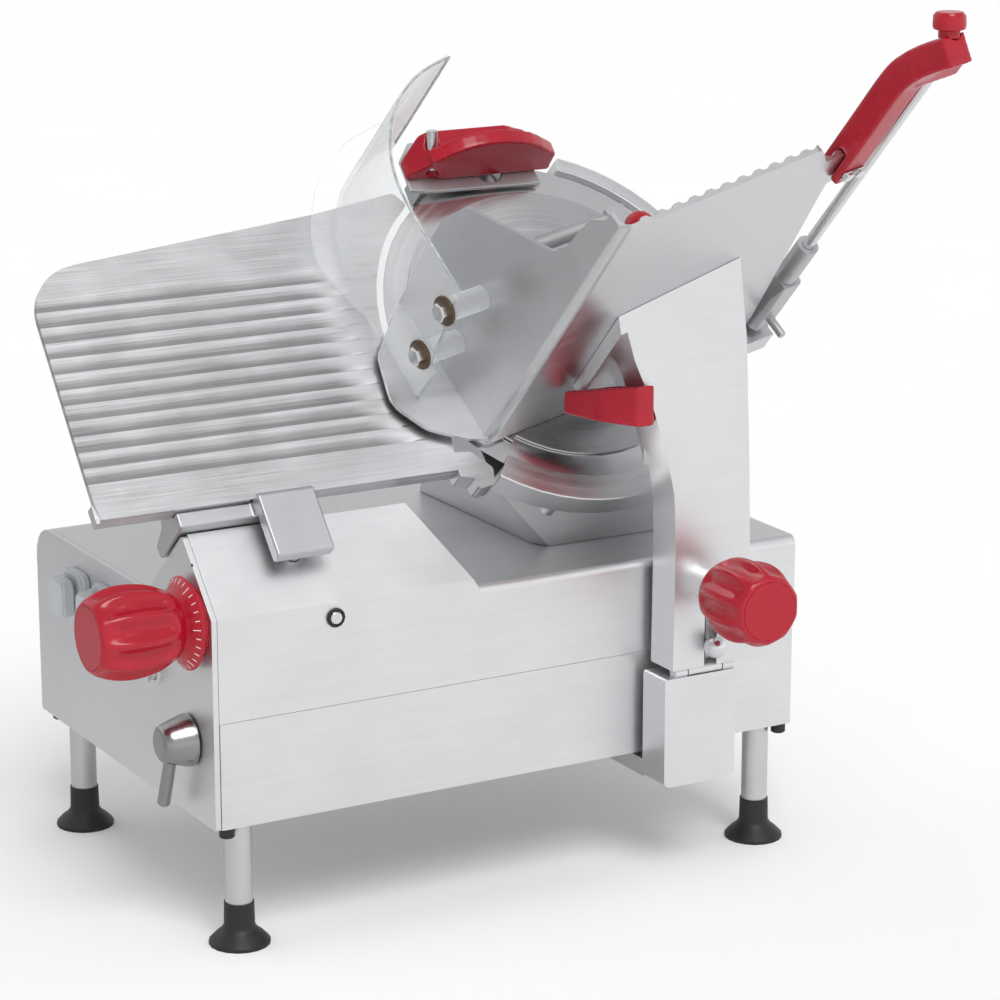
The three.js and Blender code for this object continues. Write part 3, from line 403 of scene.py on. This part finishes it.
def smooth_by_angle(angle):
    """Smooth shading that keeps edges sharper than an angle."""
    made, start, end = geometry_group(f"smooth_under_{angle:.0f}")
    faces = made.nodes.new("GeometryNodeSetShadeSmooth")
    edges = made.nodes.new("GeometryNodeSetShadeSmooth")
    edges.domain = "EDGE"
    edges.inputs["Shade Smooth"].default_value = False
    bend = made.nodes.new("GeometryNodeInputMeshEdgeAngle")
    over = made.nodes.new("FunctionNodeCompare")
    over.data_type, over.operation = "FLOAT", "GREATER_THAN"
    over.inputs["B"].default_value = math.radians(angle)
    made.links.new(bend.outputs["Unsigned Angle"], over.inputs["A"])
    made.links.new(over.outputs["Result"], edges.inputs["Selection"])
    made.links.new(start.outputs[0], faces.inputs["Geometry"])
    made.links.new(faces.outputs["Geometry"], edges.inputs["Geometry"])
    made.links.new(edges.outputs["Geometry"], end.inputs[0])
    return made


JOINED = joined_points()
SMOOTHED = smooth_by_angle(40)


def soften(obj, width=0.0):
    """Rounds the sharp edges by a width in metres and shades the rest smooth."""
    obj.modifiers.new("join", "NODES").node_group = JOINED
    flat = obj.modifiers.new("flatten", "DECIMATE")
    flat.decimate_type, flat.angle_limit = "DISSOLVE", math.radians(0.4)
    if width:
        bevel = obj.modifiers.new("edges", "BEVEL")
        bevel.width, bevel.segments = width, 3
        bevel.limit_method, bevel.angle_limit = "ANGLE", math.radians(36)
        bevel.miter_outer = "MITER_ARC"
    obj.modifiers.new("smooth", "NODES").node_group = SMOOTHED
    even = obj.modifiers.new("even", "WEIGHTED_NORMAL")
    even.keep_sharp, even.weight = True, 60


def moulded_round(obj, grain, rounds):
    """Turns a part's corners into the large soft rounds of a moulding."""
    obj.modifiers.new("join", "NODES").node_group = JOINED
    skin = obj.modifiers.new("skin", "REMESH")
    skin.mode, skin.voxel_size, skin.use_smooth_shade = "VOXEL", grain, True
    soft = obj.modifiers.new("soft", "SMOOTH")
    soft.factor, soft.iterations = 0.5, rounds


SKIN_GRAIN = 0.0013
ROUND_PARTS = {"finger_handle": 22, "tray_handle": 26, "sharpener_cover": 9}
for name, rounds in ROUND_PARTS.items():
    moulded_round(NODES[name], SKIN_GRAIN, rounds)

EDGES = {
    0.0025: ["base_housing", "carriage_block", "gauge_carrier"],
    0.0035: ["carriage_arm"],
    0.0012: ["base_pan", "front_panel", "blade_housing", "carriage_slider",
             "sharpener_bracket"],
    0.001: ["meat_tray", "ring_guard", "pusher_arm", "button_collars"],
    0.0016: ["start_button", "stop_button"],
    0.0005: ["knife_cover", "handle_bolts", "guard_bolt_lower", "guard_bolt_upper", "handle_cap",
             "fence_guard", "motor_pulley", "drive_pulley", "idler_pulley", "cable_gland", "mode_button"],
}
for width, names in EDGES.items():
    for name in names:
        soften(NODES[name], width)
for name in sorted(set(NODES) - {n for names in EDGES.values() for n in names} - set(ROUND_PARTS)):
    soften(NODES[name])


def piece(name, mesh, matrix, body, look, *stands_for):
    """Adds a piece that rides a body, and takes the place of the named nodes."""
    made = bpy.data.objects.new(name, mesh)
    bpy.context.scene.collection.objects.link(made)
    made.matrix_world = matrix
    wear(made, look)
    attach(made, body)
    if stands_for:
        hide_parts(*stands_for)
    return made


def shaded(bm, name, angle=40):
    """Makes a mesh that is smooth except across edges sharper than an angle."""
    mesh = bpy.data.meshes.new(name)
    bmesh.ops.recalc_face_normals(bm, faces=bm.faces)
    for face in bm.faces:
        face.smooth = True
    for edge in bm.edges:
        if len(edge.link_faces) == 2 and edge.calc_face_angle(0) > math.radians(angle):
            edge.smooth = False
    bm.to_mesh(mesh)
    bm.free()
    return mesh


def curve_through(points, steps):
    """Catmull-Rom curve through 2-D points."""
    out = []
    for i in range(len(points) - 1):
        p0, p1 = points[max(i - 1, 0)], points[i]
        p2, p3 = points[i + 1], points[min(i + 2, len(points) - 1)]
        for k in range(steps):
            t = k / steps
            out.append(tuple(0.5 * (2 * b + (c - a) * t + (2 * a - 5 * b + 4 * c - d) * t * t
                                    + (3 * b - a - 3 * c + d) * t ** 3)
                             for a, b, c, d in zip(p0, p1, p2, p3)))
    return out + [tuple(points[-1])]


def add_lathe(bm, profile, sides, shape=None):
    """Adds a surface of revolution about z; the profile is in millimetres, axis to axis."""
    rings = []
    for r, z in profile:
        if r < 1e-6:
            rings.append([bm.verts.new((0, 0, z * MM))])
            continue
        ring = []
        for k in range(sides):
            angle = 2 * math.pi * k / sides
            reach = r * (shape(angle, z) if shape else 1.0) * MM
            ring.append(bm.verts.new((reach * math.cos(angle), reach * math.sin(angle), z * MM)))
        rings.append(ring)
    for low, high in zip(rings, rings[1:]):
        for k in range(sides):
            n = (k + 1) % sides
            corners = [low[k % len(low)], low[n % len(low)], high[n % len(high)], high[k % len(high)]]
            unique = list(dict.fromkeys(corners))
            if len(unique) > 2:
                bm.faces.new(unique)


GRIP = [(19, 0.6), (24, 2.2), (29, 7), (34, 16), (37.4, 27), (39.2, 39), (39.5, 49), (38.4, 59), (36, 68),
        (33, 75.5)]
FLUTES = 10
FLUTE_HALF_WIDTH = 0.41  # share of the step from one flute to the next
FLUTE_DEPTH = 0.17  # share of the grip's radius


def scallop(angle, height):
    """Long concave flutes that fade out towards the neck and towards the front rim."""
    u = (angle * FLUTES / (2 * math.pi)) % 1.0 - 0.5
    dish = max(0.0, 1.0 - (abs(u) / FLUTE_HALF_WIDTH) ** 2.0)
    start = min(max((height - 8) / 14, 0.0), 1.0)
    fade = 1.0 - 0.86 * min(max((height - 58) / 19, 0.0), 1.0) ** 1.5
    return 1.0 - FLUTE_DEPTH * dish * start * start * (3 - 2 * start) * fade


def grip_profile():
    side = curve_through(GRIP, 6)
    face = [(32.2, 77.4), (30.9, 78.9), (29.4, 79.7), (28.2, 80.0), (27.6, 80.0), (27.2, 79.5),
            (26.8, 80.0), (0, 80.0)]
    return [(0, 0)] + side + face


def fluted_grip(bm, z0, size=1.0):
    def shape(angle, z):
        height = (z - z0) / size
        return 1.0 if height > 79.6 else scallop(angle, height)
    add_lathe(bm, [(r * size, z0 + z * size) for r, z in grip_profile()], 160, shape)


def index_knob():
    """Index knob with its skirt, spindle and cam."""
    bm = bmesh.new()
    skirt = [(0, 0.3), (31, 0.3), (31, 5.6), (31.6, 6.2), (39.4, 7.4), (40, 8), (40, 8.9),
             (39.3, 9.7)]
    skirt += curve_through([(38.8, 10.1), (34, 13.6), (29.4, 16.8), (26, 20), (24, 22)], 5)
    add_lathe(bm, skirt + [(0, 22)], 128)
    add_lathe(bm, [(0, -112), (6, -112), (6.4, -111.6), (6.4, 1), (0, 1)], 32)
    add_lathe(bm, [(0, -106), (20.6, -106), (21, -105.6), (21, -94.4), (20.6, -94), (0, -94)], 64)
    fluted_grip(bm, 15)
    return piece("index_knob_grip", shaded(bm, "index_knob_grip"), on_panel(154.2, 287.1), "index",
                 "plastic_red", "index_knob")


def lock_knob():
    """Lock knob on its spindle."""
    bm = bmesh.new()
    fluted_grip(bm, 28, 0.95)
    add_lathe(bm, [(0, -30), (7.9, -30), (8.4, -29.5), (8.4, 30), (0, 30)], 40)
    return piece("lock_knob_grip", shaded(bm, "lock_knob_grip"), LOCK, "lock_knob", "plastic_red",
                 "lock_knob")


def add_box(bm, low, high, matrix):
    made = bmesh.ops.create_cube(bm, size=1.0)["verts"]
    for v in made:
        v.co = Vector(low[i] + (v.co[i] + 0.5) * (high[i] - low[i]) for i in range(3)) * MM
    bmesh.ops.transform(bm, matrix=matrix, verts=made)


def index_marks():
    """White division lines on the skirt of the index knob."""
    bm = bmesh.new()
    lean = math.atan2(13.6 - 10.1, 38.8 - 34)
    for k in range(30):
        long = k % 5 == 0
        turn = Matrix.Rotation(math.radians(12 * k + 6), 4, "Z")
        seat = Matrix.Translation(Vector((38.3, 0, 10.45)) * MM) @ Matrix.Rotation(math.pi + lean, 4, "Y")
        add_box(bm, (0, -0.35, -0.25), (7.5 if long else 4.5, 0.35, 0.3), turn @ seat)
    return piece("index_marks", shaded(bm, "index_marks"), on_panel(154.2, 287.1), "index",
                 "mark_white")


def rounded(points, radii, steps=10):
    """Outline with its corners rounded."""
    out = []
    for i, radius in enumerate(radii):
        corner = Vector(points[i])
        if not radius:
            out.append(corner)
            continue
        before = Vector(points[i - 1]) - corner
        after = Vector(points[(i + 1) % len(points)]) - corner
        half = before.angle(after) / 2
        reach = min(radius / math.tan(half), 0.49 * before.length, 0.49 * after.length)
        a, b = corner + before.normalized() * reach, corner + after.normalized() * reach
        inward = (before.normalized() + after.normalized()).normalized()
        middle = corner + inward * (reach / math.cos(half))
        start = a - middle
        turn = start.angle_signed(b - middle)
        for k in range(steps + 1):
            out.append(middle + Matrix.Rotation(-turn * k / steps, 2) @ start)
    return out


PLATE_OUTLINE = rounded([(-484, -130), (-480, 106), (-198, 137), (-112, 151), (-103.5, 139),
                         (-146, -118), (-146, -130)], [5, 52, 60, 3, 0, 0, 0])
PLATE_CUT_R = 171  # radius of the plate's hollow round the knife
RIB_START, RIB_PITCH, RIB_COUNT, RIB_DEPTH = -96.7, 15.0, 12, 2.4


def plate_span(s):
    """Where a row at a height up the plate starts and ends."""
    hits = []
    for a, b in zip(PLATE_OUTLINE, PLATE_OUTLINE[1:] + PLATE_OUTLINE[:1]):
        if (a.y - s) * (b.y - s) <= 0 and abs(a.y - b.y) > 1e-9:
            hits.append(a.x + (b.x - a.x) * (s - a.y) / (b.y - a.y))
    end = max(hits)
    if abs(s) < PLATE_CUT_R:
        end = min(end, -math.sqrt(PLATE_CUT_R ** 2 - s * s))
    return min(hits), end


def plate_rows():
    """Rows up the plate: height, and depth there as a share of the ribs' depth."""
    rows = [(-129.9, 0), (-129, 0), (-113, 0), (RIB_START - 0.4, 0)]
    for i in range(RIB_COUNT):
        s = RIB_START + i * RIB_PITCH
        steps = (0, 0.06, 0.15, 0.3, 0.5, 0.75, 1)
        rows += [(s, 0)] + [(s + 0.25 + 14.1 * u, (1 - u) ** 1.5) for u in steps]
    top = RIB_START + RIB_COUNT * RIB_PITCH
    peak = max(p.y for p in PLATE_OUTLINE) - 0.05
    return rows + [(top + k * (peak - top) / 24, 0) for k in range(1, 25)]


def gauge_plate():
    """Ribbed plate: scalloped ribs that fade out round the knife."""
    bm = bmesh.new()
    columns = 72
    tops, bottoms = [], []
    for s, share in plate_rows():
        start, end = plate_span(s)
        top, bottom = [], []
        for k in range(columns + 1):
            t = start + (end - start) * k / columns
            near = min(max((math.hypot(t, s) - 190) / 42, 0.0), 1.0)
            z = -RIB_DEPTH * share * near * near * (3 - 2 * near)
            top.append(bm.verts.new((t * MM, s * MM, z * MM)))
            bottom.append(bm.verts.new((t * MM, s * MM, -6 * MM)))
        tops.append(top)
        bottoms.append(bottom)
    for sheet in (tops, bottoms):
        for low, high in zip(sheet, sheet[1:]):
            for k in range(columns):
                bm.faces.new((low[k], low[k + 1], high[k + 1], high[k]))
    for k in range(columns):
        for i in (0, -1):
            bm.faces.new((tops[i][k], bottoms[i][k], bottoms[i][k + 1], tops[i][k + 1]))
    for i in range(len(tops) - 1):
        for k in (0, -1):
            bm.faces.new((tops[i][k], tops[i + 1][k], bottoms[i + 1][k], bottoms[i][k]))
    bmesh.ops.remove_doubles(bm, verts=bm.verts, dist=0.00001)
    here = Matrix.Identity(4)
    add_box(bm, (-484, -130, -16), (-146, -113, -6), here)
    add_box(bm, (-410, -84, -16), (-296, -64, -6), here)
    tip = rounded([(-147, -112), (-129, -113.5), (-113, -131.5), (-117, -148), (-133, -150),
                   (-134, -139), (-147, -136)], [0, 2, 3, 3, 3, 2, 2], 4)
    add_prism(bm, tip, -20, -1)
    return piece("gauge_plate_ribbed", shaded(bm, "gauge_plate_ribbed", 50), KNIFE, "gauge",
                 "plate_ribbed_painted_shade", "gauge_plate")


def add_prism(bm, outline, z0, z1):
    """Adds an outline in millimetres drawn up from one height to another."""
    low = [bm.verts.new((p.x * MM, p.y * MM, z0 * MM)) for p in outline]
    high = [bm.verts.new((p.x * MM, p.y * MM, z1 * MM)) for p in outline]
    bm.faces.new(low)
    bm.faces.new(high)
    for i in range(len(low)):
        n = (i + 1) % len(low)
        bm.faces.new((low[i], low[n], high[n], high[i]))


GUARD_PATH = [(-166, -60), (-178, -2), (-188.6, 50), (-191, 82), (-186, 110), (-171, 144), (-151, 167),
              (-128, 184), (-97, 197)]


def guard_edge_highlight():
    """Thin strip with a painted highlight that runs round the clear guard's cut edge."""
    path = curve_through(GUARD_PATH, 8)
    first = [p for p in path if p[1] <= -33]
    rim = [(*path[0], n) for n in (12, 32, 51.2)]
    for t, s in first:
        rim.append((t, s, 51.2 if s < -52 else 52 + (s + 52) * 98 / 19))
    rim = [p for p in rim if p[2] < 145] + [(t, s, 146.2) for t, s in path if s > -34]
    rim += [(*path[-1], n) for n in (110, 70, 30, 11)]
    curve = bpy.data.curves.new("guard_edge_highlight", "CURVE")
    curve.dimensions = "3D"
    spline = curve.splines.new("POLY")
    spline.points.add(len(rim) - 1)
    for spot, p in zip(spline.points, rim):
        spot.co = (*(Vector(p) * MM), 1)
    curve.bevel_depth, curve.bevel_resolution = 0.0012, 3
    curve.use_fill_caps = True
    return piece("guard_edge_highlight", curve, KNIFE, "table", "acrylic_edge_highlight")


def corner_bumpers():
    """Black rubber sleeves on the studs under the base's corners."""
    bm = bmesh.new()
    for x in (-181, 181):
        for y in (-279, 279):
            spot = bm.verts[:]
            add_lathe(bm, [(0, -9.6), (5.6, -9.6), (6.7, -8.6), (6.7, -0.6), (6.2, -0.2), (0, -0.2)], 32)
            fresh = [v for v in bm.verts if v not in set(spot)]
            bmesh.ops.translate(bm, vec=Vector((x, y, 0)) * MM, verts=fresh)
    return piece("corner_bumpers", shaded(bm, "corner_bumpers"), Matrix.Translation(point(0, 0, 112.2)),
                 "base", "rubber_black")


def bolt_heads():
    """Bright hexagon heads on the clear guard's dark washers."""
    bm = bmesh.new()
    for across, up in ((36.8, 79.5), (101, 81)):
        made = bmesh.new()
        add_lathe(made, [(0, 43.7), (8.2, 43.7), (8.5, 44.1), (8.5, 49.2), (7.6, 50.1), (0, 50.2)], 6)
        turn = Matrix.Translation(Vector((0, up, across)) * MM) @ Matrix.Rotation(-math.pi / 2, 4, "Y")
        bmesh.ops.transform(made, matrix=turn, verts=made.verts)
        mesh = bpy.data.meshes.new("head")
        made.to_mesh(mesh)
        made.free()
        bm.from_mesh(mesh)
        bpy.data.meshes.remove(mesh)
    return piece("guard_bolt_heads", shaded(bm, "guard_bolt_heads", 20), TRAY, "table", "bright_steel")


def index_pointer():
    """Small dark dot on the panel that the divisions are read against."""
    bm = bmesh.new()
    add_lathe(bm, [(0, -0.2), (1.5, -0.2), (1.5, 0.25), (1.2, 0.4), (0, 0.4)], 20)
    return piece("index_pointer", shaded(bm, "index_pointer"), on_panel(154.2, 336), "base", "rubber_black")


index_knob()
index_marks()
index_pointer()
lock_knob()
gauge_plate()
guard_edge_highlight()
bolt_heads()
corner_bumpers()


# ---- stage --------------------------------------------------------------
TOWARDS = (0.75, 0.66, 0.0)  # level direction from which the studio is brightest


def mixed_by_path(tree, ray, seen, other, output):
    """Uses one shader for a kind of ray and another for the rest."""
    path = tree.nodes.new("ShaderNodeLightPath")
    mix = tree.nodes.new("ShaderNodeMixShader")
    tree.links.new(path.outputs[ray], mix.inputs[0])
    tree.links.new(other, mix.inputs[1])
    tree.links.new(seen, mix.inputs[2])
    tree.links.new(mix.outputs["Shader"], output)


def share_towards(tree, vector, start, end, low, high):
    """A number that goes from low to high along the studio's brightest direction."""
    along = tree.nodes.new("ShaderNodeVectorMath")
    along.operation = "DOT_PRODUCT"
    along.inputs[1].default_value = TOWARDS
    tree.links.new(vector, along.inputs[0])
    level = tree.nodes.new("ShaderNodeMapRange")
    for key, number in zip(("From Min", "From Max", "To Min", "To Max"), (start, end, low, high)):
        level.inputs[key].default_value = number
    tree.links.new(along.outputs["Value"], level.inputs["Value"])
    return level.outputs["Result"]


def backdrop():
    """Pale floor; to reflection rays it shows painted shade instead, darker away from the studio's brightest
    side, so that bare metal keeps its contrast.
    """
    bm = bmesh.new()
    bmesh.ops.create_grid(bm, x_segments=1, y_segments=1, size=40)
    mesh = bpy.data.meshes.new("floor")
    bm.to_mesh(mesh)
    bm.free()
    floor = bpy.data.objects.new("floor", mesh)
    bpy.context.scene.collection.objects.link(floor)
    made = Finish("floor_paper", (0.98, 0.98, 0.98), 0.7, Specular_IOR_Level=0.1)
    made.tint(made.noise(made.place(), 3.0, 2.0), 0.99, 1.005)
    # painted shade: what metal reflects of the floor is a darker diffuse, graded along the studio's
    # brightest direction
    reflected_painted_shade = made.node("ShaderNodeBsdfDiffuse")
    made.link(share_towards(made.tree, made.place(), -1.6, 0.5, 0.42, 0.88), reflected_painted_shade.inputs["Color"])
    mixed_by_path(made.tree, "Is Glossy Ray", reflected_painted_shade.outputs["BSDF"], made.shader.outputs["BSDF"],
                  made.tree.nodes["Material Output"].inputs["Surface"])
    mesh.materials.append(made.material)


def studio_light():
    """Graded surroundings and two broad lamps; the camera sees a plain wall."""
    world = bpy.data.worlds.new("studio")
    bpy.context.scene.world = world
    world.use_nodes = True
    tree = world.node_tree
    source = tree.nodes.new("ShaderNodeTexCoord").outputs["Generated"]
    parts = tree.nodes.new("ShaderNodeSeparateXYZ")
    ramp = tree.nodes.new("ShaderNodeValToRGB")
    tree.links.new(source, parts.inputs["Vector"])
    tree.links.new(parts.outputs["Z"], ramp.inputs["Fac"])
    stops = ramp.color_ramp.elements
    stops[0].position, stops[0].color = 0.0, (1.0, 1.0, 1.0, 1)
    stops[1].position, stops[1].color = 1.0, (0.6, 0.6, 0.61, 1)
    stops.new(0.4).color = (0.62, 0.62, 0.63, 1)
    stops.new(0.75).color = (0.5, 0.5, 0.51, 1)
    room = tree.nodes["Background"]
    tree.links.new(ramp.outputs["Color"], room.inputs["Color"])
    tree.links.new(share_towards(tree, source, -1.0, 1.0, 0.72, 1.28), room.inputs["Strength"])
    plain = tree.nodes.new("ShaderNodeBackground")
    plain.inputs["Color"].default_value = (0.96, 0.96, 0.96, 1)
    mixed_by_path(tree, "Is Camera Ray", plain.outputs["Background"], room.outputs["Background"],
                  tree.nodes["World Output"].inputs["Surface"])
    for name, turn, strength, spread in (("key", (38, 0, 78), 1.5, 30), ("fill", (52, 0, -60), 0.4, 60)):
        lamp = bpy.data.lights.new(name, "SUN")
        lamp.energy, lamp.angle = strength, math.radians(spread)
        holder = bpy.data.objects.new(name, lamp)
        holder.rotation_euler = [math.radians(a) for a in turn]
        bpy.context.scene.collection.objects.link(holder)


def camera():
    """Camera on the operator's right, looking down at the machine."""
    data = bpy.data.cameras.new("camera")
    data.lens, data.sensor_width, data.clip_end = 124.852, 36.0, 100.0
    made = bpy.data.objects.new("camera", data)
    made.location = point(2683.62, -1436.88, 1132.16)
    made.rotation_euler = (math.radians(90 - 14.9879), 0, math.radians(60.3898))
    bpy.context.scene.collection.objects.link(made)
    bpy.context.scene.camera = made


backdrop()
studio_light()
camera()
bpy.context.scene.view_settings.view_transform = "Standard"

bpy.context.view_layer.update()
